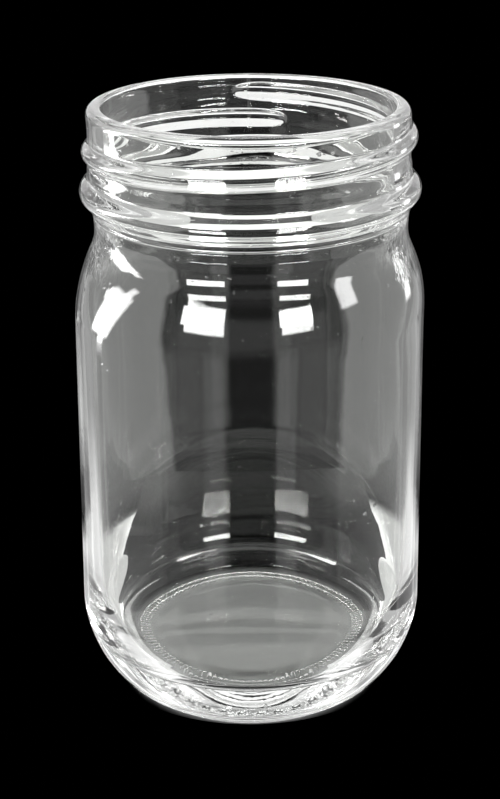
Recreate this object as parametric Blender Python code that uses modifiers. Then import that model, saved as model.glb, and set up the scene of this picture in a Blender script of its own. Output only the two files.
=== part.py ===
"""Glass preserving jar with a screw-thread mouth: one moulded piece of clear glass.

The jar stands on z = 0 with its axis on Z, and its origin is the middle of its foot.
One closed profile is turned about the axis: the floor and the inner wall, the rim, the
threaded mouth with its bead, the neck, the shoulder, the body, the heel, the ring it
stands on and the hollow under its base. The thread is a round ridge laid on a helix
round the mouth and fused to it.
"""
import math

import bmesh
import bpy
import numpy as np

PART_NAME = "glass_jar"

# Overall height, foot to rim
JAR_HEIGHT = 0.1310

# Mouth, for a lid and screw band of the common 70 mm size
BORE_RADIUS = 0.0304
MOUTH_WALL = 0.00325
RIM_OUTER_ROUND = 0.0017
RIM_INNER_ROUND = 0.0009

# Thread: how far its crest stands off the mouth, its roundness, and its helix
THREAD_HEIGHT = 0.00135
THREAD_ROUND = 0.0022
THREAD_PITCH = 0.00508
THREAD_START_BELOW_RIM = 0.0052
THREAD_START_ANGLE = math.radians(96)
THREAD_TURNS = 1.058
THREAD_END_FADE = math.radians(14)
THREAD_END_SINK = 0.0011
THREAD_END_SHARE = 0.55

# Bead under the thread, which the fingers and the filling machine hold
BEAD_BELOW_RIM = 0.0173
BEAD_HEIGHT = 0.00225
BEAD_ROUND = 0.0024
BEAD_FILLET = 0.0012
BEAD_FLANK_ANGLE = math.radians(45)

# Neck and shoulder
NECK_BELOW_RIM = 0.0256
NECK_WALL = 0.00275
SHOULDER_REACH = 0.00439
SHOULDER_ROUND = 0.0339
SHOULDER_HOLLOW = 0.0108

# Body, a little wider at its foot
BODY_WALL = 0.0030
BODY_FOOT_WALL = 0.0031
BODY_TAPER = 0.00078

# Heel and the ring that the jar stands on
HEEL_REACH = 0.0103
HEEL_HEIGHT = 0.0181
HEEL_POWER = 1.59
FOOT_RING_WIDTH = 0.0035

# Hollow under the base
BASE_HOLLOW_RISE = 0.0026
BASE_HOLLOW_RUN = 0.0016
BASE_DOME_RISE = 0.0005

# Floor inside, with the inner heel that rises from its edge
FLOOR_THICKNESS = 0.0079
FLOOR_EDGE_RISE = 0.0010
INNER_HEEL_REACH = 0.0040
INNER_HEEL_HEIGHT = 0.0160

# Facets
TURN_STEPS = 64
THREAD_STEPS_PER_TURN = 42
THREAD_END_STEPS = 4
HEEL_STEPS = 9
INNER_HEEL_STEPS = 7
SHOULDER_STEPS = 5
BEAD_STEPS = 4
FILLET_STEPS = 2
RIM_STEPS = 4
MERGE_DISTANCE = 0.00001

# Glass, as the photograph shows it
GLASS_COLOUR = (0.93, 0.95, 0.93, 1.0)
GLASS_ROUGHNESS = 0.02
GLASS_INDEX = 1.52

# Sizes that follow from the ones above
MOUTH_RADIUS = BORE_RADIUS + MOUTH_WALL
NECK_RADIUS = BORE_RADIUS + NECK_WALL
BEAD_CREST_RADIUS = MOUTH_RADIUS + BEAD_HEIGHT
BEAD_CENTRE_Z = JAR_HEIGHT - BEAD_BELOW_RIM
NECK_FOOT_Z = JAR_HEIGHT - NECK_BELOW_RIM
BODY_TOP_RADIUS = NECK_RADIUS + SHOULDER_REACH
BODY_FOOT_RADIUS = BODY_TOP_RADIUS + BODY_TAPER
FOOT_RING_OUTER = BODY_FOOT_RADIUS - HEEL_REACH
FOOT_RING_INNER = FOOT_RING_OUTER - FOOT_RING_WIDTH
BASE_CENTRE_Z = BASE_HOLLOW_RISE + BASE_DOME_RISE
FLOOR_CENTRE_Z = BASE_CENTRE_Z + FLOOR_THICKNESS
FLOOR_EDGE_Z = FLOOR_CENTRE_Z + FLOOR_EDGE_RISE
INNER_FOOT_RADIUS = BODY_FOOT_RADIUS - BODY_FOOT_WALL
FLOOR_RADIUS = INNER_FOOT_RADIUS - INNER_HEEL_REACH


def clear_scene():
    """Removes whatever the file holds, so that the script can be run again."""
    for thing in list(bpy.data.objects):
        bpy.data.objects.remove(thing, do_unlink=True)


def new_collection(name):
    group = bpy.data.collections.new(name)
    bpy.context.scene.collection.children.link(group)
    return group


def glass_material():
    """Clear soda-lime glass with the faintest green-grey."""
    material = bpy.data.materials.new("clear_glass")
    material.use_nodes = True
    shader = material.node_tree.nodes["Principled BSDF"]
    shader.inputs["Base Color"].default_value = GLASS_COLOUR
    shader.inputs["Roughness"].default_value = GLASS_ROUGHNESS
    shader.inputs["Metallic"].default_value = 0.0
    shader.inputs["Transmission Weight"].default_value = 1.0
    shader.inputs["IOR"].default_value = GLASS_INDEX
    return material


def arc(centre_radius, centre_z, size, start, end, steps):
    """Points (radius, z) along a circular arc, from one angle to another, both included."""
    angles = np.linspace(start, end, steps + 1)
    return [(centre_radius + size * math.cos(a), centre_z + size * math.sin(a)) for a in angles]


def rim_points():
    """Over the rim from the bore to the mouth's outer wall, with a flat sealing land on top."""
    inner = arc(BORE_RADIUS + RIM_INNER_ROUND, JAR_HEIGHT - RIM_INNER_ROUND, RIM_INNER_ROUND,
                math.pi, math.pi / 2, FILLET_STEPS)
    outer = arc(MOUTH_RADIUS - RIM_OUTER_ROUND, JAR_HEIGHT - RIM_OUTER_ROUND, RIM_OUTER_ROUND,
                math.pi / 2, 0.0, RIM_STEPS)
    return inner + outer


def bead_side(wall_radius, downwards):
    """Half of the bead, crest to wall: a round crown, a sloping flank and a hollow fillet.

    The flank runs straight between the crown's end and the fillet's start, so only the two
    arcs are listed. With downwards false the half above the crest is given, wall first.
    """
    crown_radius = BEAD_CREST_RADIUS - BEAD_ROUND
    crown_drop = BEAD_ROUND * (1 - math.cos(BEAD_FLANK_ANGLE))
    crown_run = BEAD_ROUND * math.sin(BEAD_FLANK_ANGLE)
    fillet_drop = BEAD_FILLET * (1 - math.cos(BEAD_FLANK_ANGLE))
    fillet_run = BEAD_FILLET * math.sin(BEAD_FLANK_ANGLE)
    flank_drop = BEAD_CREST_RADIUS - wall_radius - crown_drop - fillet_drop
    flank_run = flank_drop / math.tan(BEAD_FLANK_ANGLE)
    reach = crown_run + flank_run + fillet_run
    crown = arc(crown_radius, 0.0, BEAD_ROUND, 0.0, -BEAD_FLANK_ANGLE, BEAD_STEPS)
    fillet = arc(wall_radius + BEAD_FILLET, -reach, BEAD_FILLET,
                 math.pi - BEAD_FLANK_ANGLE, math.pi, FILLET_STEPS)
    side = crown + fillet
    if downwards:
        return [(radius, BEAD_CENTRE_Z + z) for radius, z in side]
    return [(radius, BEAD_CENTRE_Z - z) for radius, z in reversed(side[1:])]


def shoulder_points(neck_radius, reach, round_size, hollow_size):
    """Neck to body in two arcs that meet on one slope: a hollow under the neck, then a round.

    reach is how far the body stands out from the neck. The slope where the arcs meet turns
    each of them by the same angle, whose cosine is 1 - reach / (round + hollow).
    """
    turn = math.acos(1 - reach / (round_size + hollow_size))
    hollow = arc(neck_radius + hollow_size, NECK_FOOT_Z, hollow_size,
                 math.pi, math.pi + turn, SHOULDER_STEPS)
    body_z = NECK_FOOT_Z - (round_size + hollow_size) * math.sin(turn)
    body = arc(neck_radius + reach - round_size, body_z, round_size, turn, 0.0, SHOULDER_STEPS)
    return hollow + body[1:]


def heel_points():
    """The heel, a quarter of a superellipse from the straight body down to the foot ring."""
    points = []
    for step in range(HEEL_STEPS + 1):
        angle = math.pi / 2 * step / HEEL_STEPS
        out = math.cos(angle) ** (2 / HEEL_POWER)
        down = math.sin(angle) ** (2 / HEEL_POWER)
        points.append((FOOT_RING_OUTER + HEEL_REACH * out, HEEL_HEIGHT * (1 - down)))
    return points


def base_points():
    """From the foot ring's inner edge up the step and over the shallow dome to the axis."""
    hollow_radius = FOOT_RING_INNER - BASE_HOLLOW_RUN
    return [(FOOT_RING_INNER, 0.0), (hollow_radius, BASE_HOLLOW_RISE), (0.0, BASE_CENTRE_Z)]


def floor_points():
    """From the middle of the floor to its edge, and up the inner heel, a quarter ellipse."""
    points = [(0.0, FLOOR_CENTRE_Z)]
    for step in range(INNER_HEEL_STEPS + 1):
        angle = math.pi / 2 * step / INNER_HEEL_STEPS
        points.append((FLOOR_RADIUS + INNER_HEEL_REACH * math.sin(angle),
                       FLOOR_EDGE_Z + INNER_HEEL_HEIGHT * (1 - math.cos(angle))))
    return points


def jar_profile():
    """The whole outline: floor centre, up the inside, over the rim, down the outside, base."""
    inner_reach = SHOULDER_REACH + NECK_WALL - BODY_WALL
    inner_shoulder = shoulder_points(BORE_RADIUS, inner_reach, SHOULDER_ROUND - BODY_WALL,
                                     SHOULDER_HOLLOW + NECK_WALL)
    outline = floor_points()
    outline += reversed(inner_shoulder)
    outline += rim_points()
    outline += bead_side(MOUTH_RADIUS, downwards=False)
    outline += bead_side(NECK_RADIUS, downwards=True)
    outline += shoulder_points(NECK_RADIUS, SHOULDER_REACH, SHOULDER_ROUND, SHOULDER_HOLLOW)
    outline += heel_points()
    outline += base_points()
    return outline


def turned_solid(name, outline, group):
    """Turns an outline of (radius, z) points about Z with a Screw modifier."""
    mesh = bpy.data.meshes.new(name)
    points = [(radius, 0.0, z) for radius, z in outline]
    edges = [(i, i + 1) for i in range(len(points) - 1)]
    mesh.from_pydata(points, edges, [])
    solid = bpy.data.objects.new(name, mesh)
    group.objects.link(solid)
    screw = solid.modifiers.new("turn", "SCREW")
    screw.axis = "Z"
    screw.angle = math.tau
    screw.steps = TURN_STEPS
    screw.render_steps = TURN_STEPS
    screw.use_merge_vertices = True
    screw.merge_threshold = MERGE_DISTANCE
    return solid


def thread_turning():
    """Angles turned along the helix, closer together where the ridge fades in and out."""
    sweep = math.tau * THREAD_TURNS
    fade = np.linspace(0.0, THREAD_END_FADE, THREAD_END_STEPS + 1)
    count = round(THREAD_STEPS_PER_TURN * THREAD_TURNS)
    middle = np.linspace(THREAD_END_FADE, sweep - THREAD_END_FADE, count + 1)
    return np.concatenate([fade, middle[1:-1], sweep - fade[::-1]])


def thread_route():
    """Points and width shares along the helix, one turn and a little more.

    The angle runs clockwise seen from above while the ridge goes down, so a lid screws on
    the usual way. Over the last degrees at each end the ridge thins and sinks into the wall.
    """
    centre_radius = MOUTH_RADIUS + THREAD_HEIGHT - THREAD_ROUND
    start_z = JAR_HEIGHT - THREAD_START_BELOW_RIM
    turning = thread_turning()
    points = []
    widths = []
    for turned in turning:
        from_end = min(turned, turning[-1] - turned)
        rise = math.sin(min(from_end / THREAD_END_FADE, 1.0) * math.pi / 2)
        radius = centre_radius - THREAD_END_SINK * (1 - rise)
        angle = THREAD_START_ANGLE - turned
        points.append((radius * math.cos(angle), radius * math.sin(angle),
                       start_z - THREAD_PITCH * turned / math.tau))
        widths.append(THREAD_END_SHARE + (1 - THREAD_END_SHARE) * rise)
    return points, widths


def thread_ridge(group):
    """The thread as a round tube along its helix, made a closed mesh ready to be fused."""
    points, widths = thread_route()
    curve = bpy.data.curves.new("thread_helix", "CURVE")
    curve.dimensions = "3D"
    curve.bevel_depth = THREAD_ROUND
    curve.bevel_resolution = 2
    curve.use_fill_caps = True
    spline = curve.splines.new("POLY")
    spline.points.add(len(points) - 1)
    for point, place, width in zip(spline.points, points, widths):
        point.co = (*place, 1.0)
        point.radius = width
    helix = bpy.data.objects.new("thread_helix", curve)
    group.objects.link(helix)
    bpy.context.view_layer.update()
    evaluated = helix.evaluated_get(bpy.context.evaluated_depsgraph_get())
    mesh = bpy.data.meshes.new_from_object(evaluated)
    shape = bmesh.new()
    shape.from_mesh(mesh)
    bmesh.ops.remove_doubles(shape, verts=shape.verts, dist=MERGE_DISTANCE)
    bmesh.ops.recalc_face_normals(shape, faces=shape.faces)
    shape.to_mesh(mesh)
    shape.free()
    ridge = bpy.data.objects.new("thread_ridge", mesh)
    ridge.matrix_world = helix.matrix_world
    group.objects.link(ridge)
    bpy.data.objects.remove(helix, do_unlink=True)
    ridge.hide_render = True
    ridge.display_type = "WIRE"
    return ridge


def fuse(solid, tool):
    union = solid.modifiers.new("fuse_" + tool.name, "BOOLEAN")
    union.operation = "UNION"
    union.solver = "EXACT"
    union.object = tool


def build():
    clear_scene()
    parts = new_collection("glass_jar")
    tools = new_collection("shaping_tools")
    jar = turned_solid(PART_NAME, jar_profile(), parts)
    jar.data.materials.append(glass_material())
    fuse(jar, thread_ridge(tools))
    return jar


build()
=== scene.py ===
"""Looks of the glass jar: one closed surface of clear glass, on a small floor in a dark studio, with
a pool of light painted on the floor under the jar.

The jar's surface is worked out here in numpy, in millimetres, as a turned profile that varies
round the axis: the thread on its helix, the mould seam, the pits of the foot ring and the
slight waves that a moulded jar has. Z is the axis and the jar stands on z = 0. Two values in a
name that has FADE in it are where something starts and where it is full.
"""

import math

import bpy
import numpy as np
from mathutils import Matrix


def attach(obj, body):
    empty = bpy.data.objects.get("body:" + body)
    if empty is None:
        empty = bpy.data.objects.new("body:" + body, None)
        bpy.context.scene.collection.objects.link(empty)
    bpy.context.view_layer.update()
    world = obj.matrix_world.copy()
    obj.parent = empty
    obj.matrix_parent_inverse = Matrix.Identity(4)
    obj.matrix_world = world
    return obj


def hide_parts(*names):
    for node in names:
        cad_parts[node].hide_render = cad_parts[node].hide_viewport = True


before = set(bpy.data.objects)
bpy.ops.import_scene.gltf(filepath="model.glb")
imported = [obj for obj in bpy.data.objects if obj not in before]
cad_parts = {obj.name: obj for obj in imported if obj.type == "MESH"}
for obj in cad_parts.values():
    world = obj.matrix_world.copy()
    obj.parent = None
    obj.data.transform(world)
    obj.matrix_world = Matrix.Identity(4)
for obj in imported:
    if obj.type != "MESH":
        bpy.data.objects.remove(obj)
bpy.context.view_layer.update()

MM = 0.001

# Mouth: the rim and the wall under it, which widens a little below the thread
RIM_Z = 131.0
BORE = 30.4
MOUTH = 33.65
RIM_OUTER_ROUND = 1.7
RIM_INNER_ROUND = 0.9
MOUTH_FOOT = 33.95
MOUTH_FOOT_FADE = (120.5, 118.0)

# Thread: start height and angle of its centre line, its fall in one turn, its section
THREAD_Z = 125.8
THREAD_ANGLE = math.radians(96)
THREAD_PITCH = 5.08
THREAD_SWEEP = math.radians(381)
THREAD_LEAD = 1.1
THREAD_LEAD_SWEEP = math.radians(110)
THREAD_TIP_SWEEP = math.radians(13)
THREAD_TIP_WIDTH = 0.35
THREAD_STANDS = 1.35
THREAD_CROWN = 1.8
THREAD_FILLET = 0.8
THREAD_SLOPE = math.radians(43)
THREAD_LOW = 117.4
THREAD_HIGH = 129.4

# Bead
BEAD_Z = 113.55
BEAD_RADIUS = 35.9
BEAD_CROWN = 2.4
BEAD_FILLET_ABOVE = 1.7
BEAD_FILLET_BELOW = 1.2
BEAD_SLOPE_ABOVE = math.radians(45)
BEAD_SLOPE_BELOW = math.radians(47)

# Neck and its parting line, shoulder and body
NECK = 33.15
NECK_FLARE = 0.055
NECK_TOP_Z = 110
NECK_FOOT_Z = 105.4
NECK_ROWS = (107.6, 106.8)
PARTING_Z = 108.95
PARTING_HEIGHT = 0.12
PARTING_HALF = 0.2
PARTING_ROWS_HIGH = 109.6
PARTING_ROWS_LOW = 108.3
SHOULDER_HOLLOW = 10.8
SHOULDER_ROUND = 33.9
BODY_TOP = 37.54
BODY_FOOT = 38.31
WALL = 3.0

# Inside, at the front: the shoulder sits lower than the outer one, with a small step above it
INNER_FRONT_FADE = (0.25, 0.6)
INNER_SHOULDER_DROP = 1.7
INNER_DROP_FADE_LOW = (70, 84)
INNER_DROP_FADE_HIGH = (105.9, 105.4)
INNER_STEP = 0.4
INNER_STEP_LOW = 105.9
INNER_STEP_HIGH = 107.85
INNER_STEP_FADE = (94, 105)
INNER_STEP_BEYOND_LOW = 0.1
INNER_STEP_BEYOND_HIGH = 0.6

# Inside, all round: slow waves in the wall, and how far the hollow sits to the right
WALL_WAVE_SEED = 4
WALL_WAVE = 0.06
WALL_WAVE_TURNS = 5
WALL_WAVE_RISE = 60
WALL_WAVE_TERMS = 9
INNER_FADE_LOW = (12, 30)
INNER_FADE_HIGH = (128, 100)
INNER_SHIFT = 0.25

# Mould seam, a low ridge up the back of the mouth
MOULD_SEAM_DEGREES = 90
MOULD_SEAM_HEIGHT = 0.09
MOULD_SEAM_HALF = 0.3
MOULD_SEAM_FADE_LOW = (117, 118)
MOULD_SEAM_FADE_HIGH = (129.6, 130.6)

# How far the moulded mouth sits off the body's axis, and its lean to the right and to the back
# in millimetres of rise per millimetre
MOUTH_OFFSET = 0.48
MOUTH_OFFSET_FADE = (84, 97)
MOUTH_OFFSET_LOSS = 0.6
MOUTH_OFFSET_LOSS_FADE = (110, 118)
LEAN_RIGHT = 0.3 / 36
LEAN_BACK = 0.25 / 36
LEAN_FADE = (98, 110)
RIM_FADE = (126, 130.5)

# Heel and the seam along it
HEEL_Z = 18.1
HEEL_REACH = 10.3
HEEL_POWER = 1.59
HEEL_SEAM_Z = 3.6
HEEL_SEAM_DEPTH = 0.28
HEEL_SEAM_HALF = 0.55
HEEL_SEAM_ROWS_HALF = 1.5
ROW_GAP = 0.1

# Foot ring with its two rows of pits, and the base hollow
RING_OUTER = BODY_FOOT - HEEL_REACH
RING_WIDTH = 3.5
RING_INNER = RING_OUTER - RING_WIDTH
PIT_COUNT = 120
PIT_DEPTH = 0.8
PITS_BEYOND = 0.2
PITS_WITHIN = 0.6
PITS_BELOW_Z = 0.5
HOLLOW_RUN = 4
HOLLOW_RADIUS = RING_INNER - HOLLOW_RUN
HOLLOW_Z = 0.2
HOLLOW_CENTRE_Z = 0.9
HOLLOW_LAST_RING = 3

# Floor and inner heel
FLOOR_Z = 11.0
FLOOR_EDGE_Z = 12.0
FLOOR_RADIUS = 31.3
FLOOR_MIDDLE_X = 0.25
INNER_HEEL_Z = 28.0
FOOT_WALL = 3.1
INNER_FOOT = BODY_FOOT - FOOT_WALL
INNER_HEEL_POWER = 1.8

# Rows of points, or steps between them, along each stretch of the profile
FLOOR_ROWS = 14
INNER_HEEL_STEPS = 16
INNER_SHOULDER_STEPS = 12
INNER_STEP_ROWS = 16
BORE_STEPS = 6
RIM_INNER_STEPS = 6
RIM_OUTER_STEPS = 9
MOUTH_STEPS = 42
CROWN_ROWS = 8
BEAD_SIDE_ROWS = 10
PARTING_ROWS = 13
SHOULDER_STEPS = 8
SHOULDER_ROUND_EXTRA = 4
BODY_STEPS = 9
HEEL_STEPS = 24
HEEL_SEAM_ROWS = 17
RING_ROWS = 13
HOLLOW_ROWS = 6
DOME_ROWS = 7

# Mesh: points round the jar, those set close at the mould seam and across from it, in degrees
# on each side, and points for each pit of the foot ring
POINTS_ROUND = 288
CLOSE_SET = np.array([0.2, 0.4, 0.65, 0.9])
POINTS_A_PIT = 5

# Glass
GLASS_IOR = 1.52
TINT_PALE = (0.978, 0.986, 0.974, 1)
TINT_DEEP = (0.957, 0.966, 0.948, 1)
MARK_ROUGHNESS = 0.22

# Marks in the glass: each noise as scale, stretch and detail, and each mark's share of a bump
# of BUMP_DISTANCE metres
BUMP_DISTANCE = 0.00006
WAVE_NOISE = (70, (1, 1, 0.15), 1)
WAVE_SHARE = 0.7
MOTTLE_NOISE = (260, (1, 1, 1), 3)
MOTTLE_SHARE = 0.07
WRINKLE_NOISE = (650, (1, 1, 1), 3)
WRINKLE_SHARE = 3.0
SEED_SCALE = 330
SEED_EDGE = (0.17, 0.08)
SEED_PATCH_NOISE = (90, (1, 1, 1), 2)
SEED_PATCHES = (0.60, 0.66)
SEED_SHARE = 0.4
SCUFF_NOISE = (420, (1, 1, 4), 2)
SCUFF_STREAKS = (0.70, 0.76)
SCUFF_SHARE = 0.25

# Where the wrinkles and the scuffs are, in metres: heights, and for one the distance aside
WRINKLE_FADE_LOW = (0.095, 0.099)
WRINKLE_FADE_HIGH = (0.109, 0.106)
WRINKLE_FADE_ASIDE = (0.026, 0.030)
RUBBED_MOUTH_FADE = (0.096, 0.106)
RUBBED_FOOT_FADE = (0.004, 0.001)

# The floor in the studio, painted with light and shade: round and pale under the jar as a painted
# pool of light, then a dark strip of painted shade that runs on behind it, with faint painted
# light at its far end and sides
POOL_LIGHT_TONE = 0.5
FLOOR_ROUND = 34
FLOOR_FRONT = 29
POOL_LIGHT_FULL_TO = 26
POOL_SHADE_FROM = 31
FLOOR_BELOW = 0.1
FLOOR_ROUGHNESS = 0.7
FLOOR_EDGE_POINTS = 73
STRIP_HALF_WIDTH = 39
STRIP_FROM = 15
STRIP_BACK = 104
# Faint painted light at the far end of the strip of painted shade, fuller at its sides
STRIP_PAINTED_LIGHT = 0.12
STRIP_PAINTED_LIGHT_FADE = (55, STRIP_BACK)
STRIP_SIDE_FADE = (20, 34)
STRIP_MIDDLE_SHARE = 0.2

# Lights before the jar, as (azimuth from, to, elevation from, to, softness in azimuth and in
# elevation, lean in degrees of azimuth per degree of elevation, brightness). Azimuth 0 is the
# camera's side, 90 is right of it.
LIGHTS_BEFORE = [
    # The two soft boxes by the camera, and the glow round them
    (-46, -19, 8, 19.3, 1, 1.5, 0, 26.0),
    (18, 40, 8, 19.3, 1, 1.5, 0, 26.0),
    (-50, 50, -7, 14, 8, 6, 0, 0.3),
    (-45, 45, 24, 40, 12, 8, 0, 0.15),
    # Ceiling
    (-181, 181, 45, 61, 1, 6, 0, 1.0),
    (-62, 62, 59, 76, 8, 6, 0, 1.3),
    (-120, -62, 59, 76, 8, 6, 0, 0.8),
    (-90, 90, 74, 91, 10, 6, 0, 0.9),
    # The table's sheen below the horizon
    (-60, 60, -66, -40, 10, 6, 0, 0.5),
]

# Panels before the jar that stand on both sides, given as they stand on the right
PAIRS_BEFORE = [
    (17, 30, -30, -8, 4, 4, 0, 0.6),
    (30, 60, -30, -8, 10, 4, 0, 0.35),
    (60, 120, -30, 46, 2, 8, 0, 0.5),
    (50, 120, -70, -30, 8, 6, 0, 0.9),
]

# Slim strips at the sides, which show only as glints on the glass: only to a reflected ray
# that has met less glass than the depth given here
GLINTS_BEFORE = [
    (-110, -92, -14, 9, 3, 3, 0.9, 14.0),
    (-101, -95, -18, 15, 3, 3, 0.9, 14.0),
    (61, 74, 11, 27, 3, 3, 0, 14.0),
    (120, 128, -8, 8, 3, 4, 0, 8.0),
]
GLINT_DEPTH = 2.5

# The same behind the jar, where azimuth 0 is straight behind and positive to the right
LIGHTS_BEHIND = [
    (-33, 33, -44, -26.8, 6, 1.2, 0, 0.7),
    (-10, 10, -44, -26.8, 4, 1.2, 0, 0.7),
    (-62, 62, -66, -44, 10, 2, 0, 1.0),
    (-30, 30, -4, 19.5, 6, 1.2, 0, 1.0),
    (-35, 35, 28, 35.4, 6, 1.4, 0, 1.2),
    (-6, 6, -25.5, -9, 4, 3, 0, 0.013),
    (-30, 30, 44, 58, 8, 4, 0, 0.9),
]
PAIRS_BEHIND = [
    (25, 33, -24, 40, 3, 6, 0, 0.3),
    (5.8, 30, -25.5, -9, 0.6, 3, 0, 0.13),
    (30, 62, 1, 58, 5, 5, 0, 1.1),
    (30, 50, -24, 1, 5, 5, 0, 0.33),
    (50, 62, -24, 1, 5, 5, 0, 0.4),
    (30, 62, -46, -24, 5, 5, 0, 0.8),
]

# The dark gap between the panels behind the jar: its elevations straight behind, its rise with
# the azimuth squared, its softness, how much light it takes and the azimuths it spans
GAP = (20.5, 28.2)
GAP_RISE = 0.0025
GAP_SOFT = 1.2
GAP_TAKES = 0.93
GAP_SPAN = (-90, 90, 4)

# The camera, in metres, degrees and millimetres of lens
CAMERA_PLACE = (0.0001, -0.3238, 0.1977)
CAMERA_DOWN = 20.54
CAMERA_ROLL = -0.3
CAMERA_LENS = 71.2
CAMERA_SHIFT = -0.062
CAMERA_SENSOR = 36
CAMERA_CLIP = (0.01, 20)

# Light is followed this often through and off the glass, as the heel reflects it many times
GLASS_BOUNCES = 24
REFLECTED_BOUNCES = 20


def arc(radius, z, size, start, end, steps):
    """Points (radius, z) on a circular arc between two angles, both ends included."""
    angles = np.linspace(start, end, steps + 1)
    return np.column_stack([radius + size * np.cos(angles), z + size * np.sin(angles)])


def straight(start, end, steps):
    """Evenly spaced points between two (radius, z) ends, without the ends themselves."""
    share = np.linspace(0, 1, steps + 2)[1:-1, None]
    return np.array(start) + share * (np.array(end) - np.array(start))


def smoothstep(value, start, full):
    """A smooth rise from 0 at start to 1 at full, which may be the lower of the two."""
    share = np.clip((value - start) / (full - start), 0, 1)
    return share * share * (3 - 2 * share)


def ridge(distance, height, crown, fillet, slope):
    """Height of a rounded ridge over its foot line, by distance from its middle.

    A circular crown runs into a straight flank, and the flank into a circular hollow fillet:
    the section of both the thread and the bead.
    """
    away = np.abs(distance)
    crown_run = crown * math.sin(slope)
    flank_drop = height - (crown + fillet) * (1 - math.cos(slope))
    flank_run = flank_drop / math.tan(slope)
    fillet_run = fillet * math.sin(slope)
    reach = crown_run + flank_run + fillet_run
    top = height - crown + np.sqrt(np.maximum(crown ** 2 - away ** 2, 0))
    flank = height - crown * (1 - math.cos(slope)) - (away - crown_run) * math.tan(slope)
    foot = fillet - np.sqrt(np.maximum(fillet ** 2 - np.maximum(reach - away, 0) ** 2, 0))
    return np.where(away < crown_run, top, np.where(away < crown_run + flank_run, flank, foot))


def bead(wall, fillet, slope, turned_down):
    """One side of the bead from its crest to the wall, as points, by the same ridge section."""
    height = BEAD_RADIUS - wall
    crown_run = BEAD_CROWN * math.sin(slope)
    flank_drop = height - (BEAD_CROWN + fillet) * (1 - math.cos(slope))
    reach = crown_run + flank_drop / math.tan(slope) + fillet * math.sin(slope)
    on_crown = np.linspace(0, crown_run, CROWN_ROWS)
    on_side = np.linspace(crown_run, reach, BEAD_SIDE_ROWS)[1:]
    away = np.concatenate([on_crown, on_side])
    points = np.column_stack([
        wall + ridge(away, height, BEAD_CROWN, fillet, slope),
        BEAD_Z - away if turned_down else BEAD_Z + away,
    ])
    return points if turned_down else points[:0:-1]


def shoulder(neck, body_top, hollow, round_size, steps):
    """Two tangent arcs from the neck down to the body: hollow first, then round."""
    turn = math.acos(1 - (body_top - neck) / (hollow + round_size))
    upper = arc(neck + hollow, NECK_FOOT_Z, hollow, math.pi, math.pi + turn, steps)
    lower_z = NECK_FOOT_Z - (hollow + round_size) * math.sin(turn)
    lower_steps = steps + SHOULDER_ROUND_EXTRA
    lower = arc(body_top - round_size, lower_z, round_size, turn, 0, lower_steps)
    return np.concatenate([upper, lower[1:]])


def corner(foot, top, power, steps):
    """A quarter superellipse from foot = (radius, z), where it lies flat, up to top."""
    turn = np.linspace(0, math.pi / 2, steps + 1)
    return np.column_stack([
        foot[0] + (top[0] - foot[0]) * np.sin(turn) ** (2 / power),
        foot[1] + (top[1] - foot[1]) * (1 - np.cos(turn) ** (2 / power)),
    ])


def inner_profile():
    """From beside the floor's centre out to the inner heel, up the wall and the bore."""
    radius = np.linspace(0, FLOOR_RADIUS, FLOOR_ROWS)[1:-1]
    floor_z = FLOOR_Z + (FLOOR_EDGE_Z - FLOOR_Z) * (radius / FLOOR_RADIUS) ** 2
    floor = np.column_stack([radius, floor_z])
    floor_edge = (FLOOR_RADIUS, FLOOR_EDGE_Z)
    heel_top = (INNER_FOOT, INNER_HEEL_Z)
    heel = corner(floor_edge, heel_top, INNER_HEEL_POWER, INNER_HEEL_STEPS)
    hollow = SHOULDER_HOLLOW + WALL
    round_size = SHOULDER_ROUND - WALL
    upper = shoulder(BORE, BODY_TOP - WALL, hollow, round_size, INNER_SHOULDER_STEPS)[::-1]
    wall = straight(heel[-1], upper[0], BODY_STEPS)
    step_from = NECK_FOOT_Z + INNER_STEP_BEYOND_LOW
    step_to = INNER_STEP_HIGH + INNER_STEP_BEYOND_HIGH
    step_z = np.linspace(step_from, step_to, INNER_STEP_ROWS)
    step = np.column_stack([np.full(len(step_z), BORE), step_z])
    rim_radius = BORE + RIM_INNER_ROUND
    rim_z = RIM_Z - RIM_INNER_ROUND
    rim = arc(rim_radius, rim_z, RIM_INNER_ROUND, math.pi, math.pi / 2, RIM_INNER_STEPS)
    bore = straight(step[-1], rim[0], BORE_STEPS)
    return np.concatenate([floor, heel, wall, upper, step, bore, rim])


def mouth_profile():
    """Over the rim and down the threaded wall to the bead, close-set for the thread."""
    rim_radius = MOUTH - RIM_OUTER_ROUND
    rim_z = RIM_Z - RIM_OUTER_ROUND
    rim = arc(rim_radius, rim_z, RIM_OUTER_ROUND, math.pi / 2, 0, RIM_OUTER_STEPS)
    upper_bead = bead(MOUTH_FOOT, BEAD_FILLET_ABOVE, BEAD_SLOPE_ABOVE, turned_down=False)
    wall = straight(rim[-1], upper_bead[0], MOUTH_STEPS)
    wall[:, 0] = MOUTH + (MOUTH_FOOT - MOUTH) * smoothstep(wall[:, 1], *MOUTH_FOOT_FADE)
    return np.concatenate([rim, wall, upper_bead])


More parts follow.
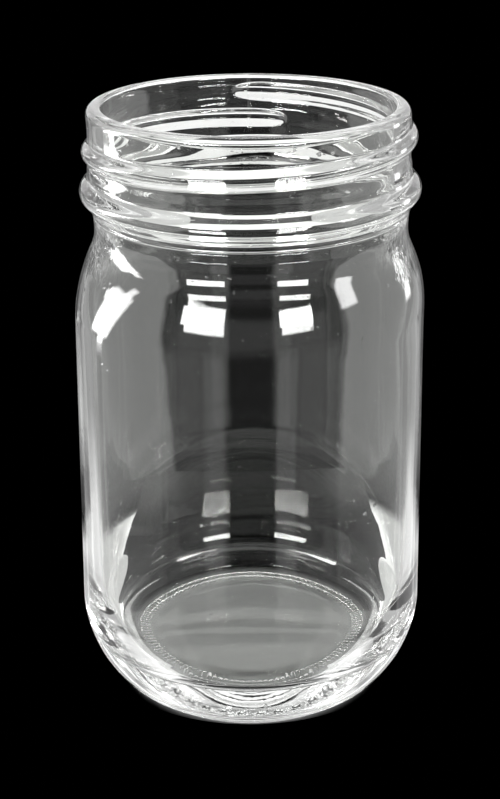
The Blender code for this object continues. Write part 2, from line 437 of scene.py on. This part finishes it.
def body_profile():
    """From the bead's crest down the neck, shoulder, body and heel to the foot ring."""
    neck_top = NECK + NECK_FLARE * (NECK_TOP_Z - NECK_FOOT_Z)
    lower_bead = bead(neck_top, BEAD_FILLET_BELOW, BEAD_SLOPE_BELOW, turned_down=True)
    parting_rows = np.linspace(PARTING_ROWS_HIGH, PARTING_ROWS_LOW, PARTING_ROWS)
    neck_z = np.concatenate([parting_rows, NECK_ROWS])
    neck = np.column_stack([NECK + NECK_FLARE * (neck_z - NECK_FOOT_Z), neck_z])
    slope = shoulder(NECK, BODY_TOP, SHOULDER_HOLLOW, SHOULDER_ROUND, SHOULDER_STEPS)
    heel = corner((RING_OUTER, 0), (BODY_FOOT, HEEL_Z), HEEL_POWER, HEEL_STEPS)[::-1]
    seam_low = HEEL_SEAM_Z - HEEL_SEAM_ROWS_HALF
    seam_high = HEEL_SEAM_Z + HEEL_SEAM_ROWS_HALF
    seam_z = np.linspace(seam_low, seam_high, HEEL_SEAM_ROWS)[::-1]
    seam = np.column_stack([np.interp(seam_z, heel[::-1, 1], heel[::-1, 0]), seam_z])
    above = heel[heel[:, 1] > seam_high + ROW_GAP]
    below = heel[heel[:, 1] < seam_low - ROW_GAP]
    wall = straight(slope[-1], above[0], BODY_STEPS)
    return np.concatenate([lower_bead, neck, slope, wall, above, seam, below[:-1]])


def base_profile():
    """Under the jar: the flat foot ring, then a slow rise and the low dome to near the centre."""
    ring_radius = np.linspace(RING_OUTER, RING_INNER, RING_ROWS)
    ring = np.column_stack([ring_radius, 0 * ring_radius])
    share = np.linspace(0, 1, HOLLOW_ROWS)[1:]
    rise_radius = RING_INNER - HOLLOW_RUN * share
    rise = np.column_stack([rise_radius, HOLLOW_Z * smoothstep(share, 0, 1)])
    radius = np.linspace(HOLLOW_RADIUS, HOLLOW_LAST_RING, DOME_ROWS)[1:]
    fall = (HOLLOW_CENTRE_Z - HOLLOW_Z) * (radius / HOLLOW_RADIUS) ** 2
    dome = np.column_stack([radius, HOLLOW_CENTRE_Z - fall])
    return np.concatenate([ring, rise, dome])


def wall_waves(angle, z):
    """A smooth uneven height over angle and z: a sum of cosines with fixed random phases.

    Each term turns a whole number of times round the jar, so that the seam closes.
    """
    chance = np.random.default_rng(WALL_WAVE_SEED)
    total = 0
    for _ in range(WALL_WAVE_TERMS):
        turns = chance.integers(0, WALL_WAVE_TURNS + 1)
        pitch = chance.uniform(-1, 1) * math.tau / WALL_WAVE_RISE
        total = total + np.cos(turns * angle + pitch * z + chance.uniform(0, math.tau))
    return WALL_WAVE * total / math.sqrt(WALL_WAVE_TERMS / 2)


def thread_height(angle, z):
    """How far the thread stands off the mouth at an angle and a height.

    At each place the thread may pass twice, once per turn, so both passes are tried and the
    higher one counts. Its height and its width share one fade at each end, rounded like a tip.
    """
    best = np.zeros(np.broadcast(angle, z).shape)
    for lap in (0, 1):
        turned = np.mod(THREAD_ANGLE - angle, math.tau) + lap * math.tau
        from_end = np.clip(np.minimum(turned, THREAD_SWEEP - turned) / THREAD_TIP_SWEEP, 0, 1)
        size = np.sqrt(1 - (1 - from_end) ** 2)
        width = THREAD_TIP_WIDTH + (1 - THREAD_TIP_WIDTH) * size
        lead = THREAD_LEAD * (1 - smoothstep(turned, 0, THREAD_LEAD_SWEEP))
        middle = THREAD_Z - THREAD_PITCH * turned / math.tau + lead
        off_middle = (z - middle) / width
        shape = ridge(off_middle, THREAD_STANDS, THREAD_CROWN, THREAD_FILLET, THREAD_SLOPE)
        best = np.maximum(best, np.where(turned <= THREAD_SWEEP, shape * size, 0))
    return best


def outer_marks(angle, radius, z):
    """How far the outside stands out along its normal: the seams, the parting line, the pits.

    The mould seam, the parting line and the heel's seam are bell curves across their line. The
    pits are a cosine round the foot ring times a squared sine over its width, in two rows.
    """
    on_finish = smoothstep(z, *MOULD_SEAM_FADE_LOW) * (1 - smoothstep(z, *MOULD_SEAM_FADE_HIGH))
    off_seam = (angle - math.radians(MOULD_SEAM_DEGREES)) * radius / MOULD_SEAM_HALF
    mould_seam = MOULD_SEAM_HEIGHT * np.exp(-off_seam ** 2) * on_finish
    parting = PARTING_HEIGHT * np.exp(-((z - PARTING_Z) / PARTING_HALF) ** 2)
    off_heel = (z - HEEL_SEAM_Z) / HEEL_SEAM_HALF
    heel_seam = HEEL_SEAM_DEPTH * np.exp(-off_heel ** 2) * (radius > RING_OUTER)
    inner_edge = smoothstep(radius, RING_INNER - PITS_BEYOND, RING_INNER + PITS_WITHIN)
    outer_edge = smoothstep(radius, RING_OUTER + PITS_BEYOND, RING_OUTER - PITS_WITHIN)
    on_ring = inner_edge * outer_edge * (z < PITS_BELOW_Z)
    row = (RING_OUTER - radius) / (RING_OUTER - RING_INNER)
    pits = (0.5 - 0.5 * np.cos(PIT_COUNT * angle)) * np.sin(math.tau * row) ** 2
    return mould_seam + parting - PIT_DEPTH * pits * on_ring - heel_seam


def surface(profile, angles, outside):
    """Places on the jar: the profile turned round the axis, moved along its own normal.

    Outside, the move holds the marks and the thread, which stands straight out on the upright
    wall. Inside, it holds the waves and the step, and the front of the shoulder is lowered. The
    neck stands a little off the axis and leans, as in a real mould.
    """
    radius = profile[:, :1]
    z = profile[:, 1:]
    run = np.gradient(profile[:, 0])[:, None]
    rise = np.gradient(profile[:, 1])[:, None]
    length = np.hypot(run, rise)
    normal_r = -rise / length
    normal_z = run / length
    angle = angles[None, :]
    if outside:
        on_thread = (z > THREAD_LOW) & (z < THREAD_HIGH)
        move = outer_marks(angle, radius, z) + np.where(on_thread, thread_height(angle, z), 0)
        shift = 0.0
        sunk = 0.0
    else:
        on_wall = smoothstep(z, *INNER_FADE_LOW) * smoothstep(z, *INNER_FADE_HIGH)
        in_front = smoothstep(-np.sin(angle), *INNER_FRONT_FADE)
        on_step = np.clip((INNER_STEP_HIGH - z) / (INNER_STEP_HIGH - INNER_STEP_LOW), 0, 1)
        step = INNER_STEP * in_front * on_step * smoothstep(z, *INNER_STEP_FADE)
        move = wall_waves(angle, z) * on_wall - step
        on_shoulder = smoothstep(z, *INNER_DROP_FADE_LOW) * smoothstep(z, *INNER_DROP_FADE_HIGH)
        sunk = INNER_SHOULDER_DROP * in_front * on_shoulder
        shift = INNER_SHIFT * on_wall
    below_rim = 1 - smoothstep(z, *RIM_FADE)
    offset_left = 1 - MOUTH_OFFSET_LOSS * smoothstep(z, *MOUTH_OFFSET_LOSS_FADE)
    off_axis = MOUTH_OFFSET * smoothstep(z, *MOUTH_OFFSET_FADE) * offset_left * below_rim
    moved = radius + normal_r * move
    x = moved * np.cos(angle) + off_axis + shift
    y = moved * np.sin(angle)
    lean = (LEAN_RIGHT * x + LEAN_BACK * y) * smoothstep(z, *LEAN_FADE) * below_rim
    return np.stack([x, y, z + normal_z * move + lean - sunk], axis=-1)


def ring_quads(rings, count, first):
    """Quads between neighbouring rings of count points each, numbered from first, closed round."""
    i = np.arange(rings - 1)[:, None] * count
    j = np.arange(count)[None, :]
    k = (j + 1) % count
    quads = np.stack([i + j, i + count + j, i + count + k, i + k], axis=-1)
    return quads.reshape(-1, 4) + first


def joint_triangles(angles_a, first_a, angles_b, first_b):
    """Triangles between two rings with different counts, walking both rings by angle."""
    a, b = len(angles_a), len(angles_b)
    next_a = np.append(angles_a[1:], math.tau)
    next_b = np.append(angles_b[1:], math.tau)
    i = np.arange(a)
    beside_a = np.maximum(np.searchsorted(angles_b, next_a, side="left") - 1, 0)
    on_a = np.column_stack([first_a + i, first_b + beside_a, first_a + (i + 1) % a])
    j = np.arange(b)
    passed = np.searchsorted(angles_a, next_b, side="right") - 1
    passed = np.where(next_b >= math.tau, a, passed)
    on_b = np.column_stack([first_a + passed % a, first_b + j, first_b + (j + 1) % b])
    return np.concatenate([on_a, on_b])


def points_round():
    """Angles of the points round the jar: even, and close-set at the back and at the front."""
    even = np.arange(POINTS_ROUND) * (360 / POINTS_ROUND)
    by_seam = MOULD_SEAM_DEGREES + np.concatenate([-CLOSE_SET, CLOSE_SET])
    return np.radians(np.sort(np.concatenate([even, by_seam, by_seam + 180])))


def jar_mesh():
    """The whole jar as one closed mesh: rings along the profile, one pole in the floor, one below."""
    angles = points_round()
    fine = np.linspace(0, math.tau, PIT_COUNT * POINTS_A_PIT, endpoint=False)
    inside = surface(inner_profile(), angles, outside=False)
    outside = surface(np.concatenate([mouth_profile(), body_profile()]), angles, outside=True)
    below = surface(base_profile(), fine, outside=True)
    upper = np.concatenate([inside, outside])
    rings, count = upper.shape[:2]
    floor_pole = np.array([[FLOOR_MIDDLE_X, 0, FLOOR_Z]])
    base_pole = np.array([[0, 0, HOLLOW_CENTRE_Z]])
    points = np.concatenate([floor_pole, upper.reshape(-1, 3), below.reshape(-1, 3), base_pole])
    first_below = 1 + rings * count
    last = len(points) - 1
    last_ring = last - len(fine)
    j = np.arange(count)
    k = np.arange(len(fine))
    quads = np.concatenate([
        ring_quads(rings, count, 1),
        ring_quads(len(below), len(fine), first_below),
    ])
    triangles = np.concatenate([
        np.column_stack([np.zeros(count, int), 1 + j, 1 + (j + 1) % count]),
        joint_triangles(angles, first_below - count, fine, first_below),
        np.column_stack([last_ring + k, np.full(len(k), last), last_ring + (k + 1) % len(k)]),
    ])
    mesh = bpy.data.meshes.new("clear_glass_jar")
    mesh.from_pydata((points * MM).tolist(), [], quads.tolist() + triangles.tolist())
    mesh.polygons.foreach_set("use_smooth", np.ones(len(mesh.polygons), bool))
    mesh.update()
    return mesh


def maths(tree, kind, *values):
    """A math node in the tree on numbers and sockets, and the socket of its result."""
    node = tree.nodes.new("ShaderNodeMath")
    node.operation = kind
    for socket, value in zip(node.inputs, values):
        if isinstance(value, (int, float)):
            socket.default_value = value
        else:
            tree.links.new(value, socket)
    return node.outputs["Value"]


def fade(tree, value, start, full, least=0.0, most=1.0, kind="SMOOTHSTEP"):
    """A smooth change of a socket's value in the tree, from least at start to most at full."""
    node = tree.nodes.new("ShaderNodeMapRange")
    node.interpolation_type = kind
    node.inputs["From Min"].default_value = start
    node.inputs["From Max"].default_value = full
    node.inputs["To Min"].default_value = least
    node.inputs["To Max"].default_value = most
    tree.links.new(value, node.inputs["Value"])
    return node.outputs["Result"]


def axes(tree, coordinates):
    """The separate X, Y and Z sockets of a kind of texture coordinate, and the whole of it."""
    place = tree.nodes.new("ShaderNodeTexCoord").outputs[coordinates]
    split = tree.nodes.new("ShaderNodeSeparateXYZ")
    tree.links.new(place, split.inputs["Vector"])
    return split.outputs["X"], split.outputs["Y"], split.outputs["Z"], place


def glass():
    """Clear soda-lime glass with the marks of moulding and use.

    Slow waves drawn out along the jar, chill wrinkles at the sides of the neck, small seeds and
    light scuffs where jars rub: on the mouth, round the bead and on the foot. The wrinkles, the
    seeds and the scuffs stand in the bump and the roughness, and the tint varies a little.
    """
    material = bpy.data.materials.new("clear_glass")
    material.use_nodes = True
    tree = material.node_tree
    nodes, links = tree.nodes, tree.links
    shader = nodes["Principled BSDF"]
    shader.inputs["Metallic"].default_value = 0
    shader.inputs["IOR"].default_value = GLASS_IOR
    shader.inputs["Transmission Weight"].default_value = 1
    across, _, height, place = axes(tree, "Object")

    def noise(scale, stretch, detail):
        drawn = nodes.new("ShaderNodeVectorMath")
        drawn.operation = "MULTIPLY"
        drawn.inputs[1].default_value = stretch
        links.new(place, drawn.inputs[0])
        node = nodes.new("ShaderNodeTexNoise")
        node.inputs["Scale"].default_value = scale
        node.inputs["Detail"].default_value = detail
        links.new(drawn.outputs["Vector"], node.inputs["Vector"])
        return node.outputs["Fac"]

    # Where the marks are: the sides of the neck, and the places that rub
    above_shoulder = fade(tree, height, *WRINKLE_FADE_LOW)
    below_bead = fade(tree, height, *WRINKLE_FADE_HIGH)
    aside = fade(tree, maths(tree, "ABSOLUTE", across), *WRINKLE_FADE_ASIDE)
    neck_sides = maths(tree, "MULTIPLY", maths(tree, "MULTIPLY", above_shoulder, below_bead), aside)
    rubbed_mouth = fade(tree, height, *RUBBED_MOUTH_FADE)
    rubbed = maths(tree, "MAXIMUM", rubbed_mouth, fade(tree, height, *RUBBED_FOOT_FADE))

    waves = noise(*WAVE_NOISE)
    mottle = noise(*MOTTLE_NOISE)
    wrinkles = maths(tree, "MULTIPLY", noise(*WRINKLE_NOISE), neck_sides)
    cells = nodes.new("ShaderNodeTexVoronoi")
    cells.inputs["Scale"].default_value = SEED_SCALE
    links.new(place, cells.inputs["Vector"])
    seed_dots = fade(tree, cells.outputs["Distance"], *SEED_EDGE)
    seed_patches = fade(tree, noise(*SEED_PATCH_NOISE), *SEED_PATCHES)
    seeds = maths(tree, "MULTIPLY", seed_dots, seed_patches)
    streaks = fade(tree, noise(*SCUFF_NOISE), *SCUFF_STREAKS)
    scuffs = maths(tree, "MULTIPLY", streaks, rubbed)

    rise = maths(tree, "MULTIPLY", mottle, MOTTLE_SHARE)
    for mark, share in (
        (waves, WAVE_SHARE), (wrinkles, WRINKLE_SHARE), (seeds, SEED_SHARE), (scuffs, SCUFF_SHARE),
    ):
        rise = maths(tree, "MULTIPLY_ADD", mark, share, rise)
    bump = nodes.new("ShaderNodeBump")
    bump.inputs["Strength"].default_value = 1
    bump.inputs["Distance"].default_value = BUMP_DISTANCE
    links.new(rise, bump.inputs["Height"])
    links.new(bump.outputs["Normal"], shader.inputs["Normal"])

    marks = maths(tree, "MAXIMUM", seeds, scuffs)
    links.new(fade(tree, marks, 0.0, 1.0, most=MARK_ROUGHNESS), shader.inputs["Roughness"])

    tint = nodes.new("ShaderNodeMix")
    tint.data_type = "RGBA"
    tint.inputs["A"].default_value = TINT_PALE
    tint.inputs["B"].default_value = TINT_DEEP
    links.new(mottle, tint.inputs["Factor"])
    links.new(tint.outputs["Result"], shader.inputs["Base Color"])
    return material


def both_sides(panels):
    """The panels as given on the right, each followed by its mirror image on the left."""
    pairs = []
    for azimuth_from, azimuth_to, *rest in panels:
        pairs.append((azimuth_from, azimuth_to, *rest))
        pairs.append((-azimuth_to, -azimuth_from, *rest))
    return pairs


def studio():
    """The studio as a world: glowing panels round the jar, placed by angle, with soft edges.

    Each panel is a soft-edged window in azimuth and elevation, as listed above, and a leaning
    one moves its azimuth with the elevation. The camera itself sees a black backdrop, and the
    glints show only to rays that the glass has reflected.
    """
    world = bpy.data.worlds.new("studio")
    world.use_nodes = True
    tree = world.node_tree
    back = tree.nodes["Background"]

    def window(value, low, high, soft):
        rising = fade(tree, value, low - soft / 2, low + soft / 2)
        falling = fade(tree, value, high + soft / 2, high - soft / 2)
        return maths(tree, "MULTIPLY", rising, falling)

    across, along, up, _ = axes(tree, "Generated")
    elevation = maths(tree, "DEGREES", maths(tree, "ARCSINE", up))
    path = tree.nodes.new("ShaderNodeLightPath")
    near = maths(tree, "LESS_THAN", path.outputs["Ray Depth"], GLINT_DEPTH)
    glint = maths(tree, "MULTIPLY", path.outputs["Is Glossy Ray"], near)
    groups = (
        (GLINTS_BEFORE, -1.0, glint),
        (LIGHTS_BEFORE + both_sides(PAIRS_BEFORE), -1.0, None),
        (LIGHTS_BEHIND + both_sides(PAIRS_BEHIND), 1.0, None),
    )
    total = 0.0
    for panels, facing, seen in groups:
        away = maths(tree, "MULTIPLY", along, facing)
        azimuth = maths(tree, "DEGREES", maths(tree, "ARCTAN2", across, away))
        for az_from, az_to, el_from, el_to, az_soft, el_soft, lean, bright in panels:
            turned = maths(tree, "MULTIPLY_ADD", elevation, -lean, azimuth) if lean else azimuth
            in_azimuth = window(turned, az_from, az_to, az_soft)
            in_elevation = window(elevation, el_from, el_to, el_soft)
            mask = maths(tree, "MULTIPLY", in_azimuth, in_elevation)
            total = maths(tree, "MULTIPLY_ADD", mask, bright, total)
        if seen is not None:
            total = maths(tree, "MULTIPLY", total, seen)
    squared = maths(tree, "MULTIPLY", azimuth, azimuth)
    raised = maths(tree, "MULTIPLY_ADD", squared, -GAP_RISE, elevation)
    gap = maths(tree, "MULTIPLY", window(raised, *GAP, GAP_SOFT), window(azimuth, *GAP_SPAN))
    total = maths(tree, "MULTIPLY", total, maths(tree, "MULTIPLY_ADD", gap, -GAP_TAKES, 1.0))
    unseen = maths(tree, "SUBTRACT", 1.0, path.outputs["Is Camera Ray"])
    tree.links.new(maths(tree, "MULTIPLY", total, unseen), back.inputs["Strength"])
    back.inputs["Color"].default_value = (1, 1, 1, 1)
    bpy.context.scene.world = world


def floor_painted_light():
    """The floor's matt grey, painted light and shade: pale under the jar as a painted pool of light,
    black round it as painted shade, faint painted light at the strip's far end.
    """
    material = bpy.data.materials.new("floor_with_painted_light")
    material.use_nodes = True
    tree = material.node_tree
    shader = tree.nodes["Principled BSDF"]
    across, along, _, place = axes(tree, "Object")
    far = tree.nodes.new("ShaderNodeVectorMath")
    far.operation = "LENGTH"
    tree.links.new(place, far.inputs[0])
    aside = maths(tree, "ABSOLUTE", across)

    def painted(value, start, full, least, most):
        return fade(tree, value, start * MM, full * MM, least, most, kind="SMOOTHERSTEP")

    # Painted pool of light: pale under the jar, fading to black round it as painted shade
    pale = painted(far.outputs["Value"], POOL_SHADE_FROM, POOL_LIGHT_FULL_TO, 0.0, POOL_LIGHT_TONE)
    # Faint painted light at the dark strip's far end, fuller at its sides
    far_end_light = painted(along, *STRIP_PAINTED_LIGHT_FADE, 0.0, STRIP_PAINTED_LIGHT)
    sides = painted(aside, *STRIP_SIDE_FADE, STRIP_MIDDLE_SHARE, 1.0)
    grey = maths(tree, "ADD", pale, maths(tree, "MULTIPLY", far_end_light, sides))
    colour = tree.nodes.new("ShaderNodeCombineColor")
    for channel in ("Red", "Green", "Blue"):
        tree.links.new(grey, colour.inputs[channel])
    tree.links.new(colour.outputs["Color"], shader.inputs["Base Color"])
    shader.inputs["Roughness"].default_value = FLOOR_ROUGHNESS
    shader.inputs["Specular IOR Level"].default_value = 0.0
    return material


def floor_sheet():
    """The floor: one flat sheet just under the jar, round in front and square behind, the square part
    carrying the strip of painted shade.
    """
    side = math.atan2(STRIP_FROM, FLOOR_ROUND)
    turn = np.linspace(-math.pi - side, side, FLOOR_EDGE_POINTS)
    reach = np.where(np.sin(turn) < 0, FLOOR_FRONT, FLOOR_ROUND)
    front = np.column_stack([FLOOR_ROUND * np.cos(turn), reach * np.sin(turn), 0 * turn])
    behind = np.array([
        [STRIP_HALF_WIDTH, STRIP_FROM, 0], [STRIP_HALF_WIDTH, STRIP_BACK, 0],
        [-STRIP_HALF_WIDTH, STRIP_BACK, 0], [-STRIP_HALF_WIDTH, STRIP_FROM, 0],
    ])
    edge = np.concatenate([front, behind])
    mesh = bpy.data.meshes.new("floor_with_painted_light")
    mesh.from_pydata((edge * MM).tolist(), [], [tuple(range(len(edge)))])
    mesh.materials.append(floor_painted_light())
    sheet = bpy.data.objects.new("floor_with_painted_light", mesh)
    bpy.context.scene.collection.objects.link(sheet)
    sheet.location = (0, 0, -FLOOR_BELOW * MM)


def camera():
    """The photograph's view: 20.5 degrees down, with the framing's small vertical shift."""
    lens = bpy.data.cameras.new("photo_camera")
    lens.sensor_width = CAMERA_SENSOR
    lens.lens = CAMERA_LENS
    lens.shift_y = CAMERA_SHIFT
    lens.clip_start, lens.clip_end = CAMERA_CLIP
    view = bpy.data.objects.new("photo_camera", lens)
    bpy.context.scene.collection.objects.link(view)
    view.location = CAMERA_PLACE
    view.rotation_euler = (math.radians(90 - CAMERA_DOWN), 0, 0)
    view.rotation_euler.rotate_axis("Z", math.radians(CAMERA_ROLL))
    bpy.context.scene.camera = view


jar = bpy.data.objects.new("clear_glass_jar", jar_mesh())
bpy.context.scene.collection.objects.link(jar)
jar.data.materials.append(glass())
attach(jar, "root")
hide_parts("glass_jar")

floor_sheet()
studio()
camera()

# Glass needs more bounces than the defaults, and its inner glints keep their full strength
scene = bpy.context.scene
scene.view_settings.view_transform = "Standard"
scene.cycles.max_bounces = GLASS_BOUNCES
scene.cycles.transmission_bounces = GLASS_BOUNCES
scene.cycles.glossy_bounces = REFLECTED_BOUNCES
scene.cycles.sample_clamp_indirect = 0
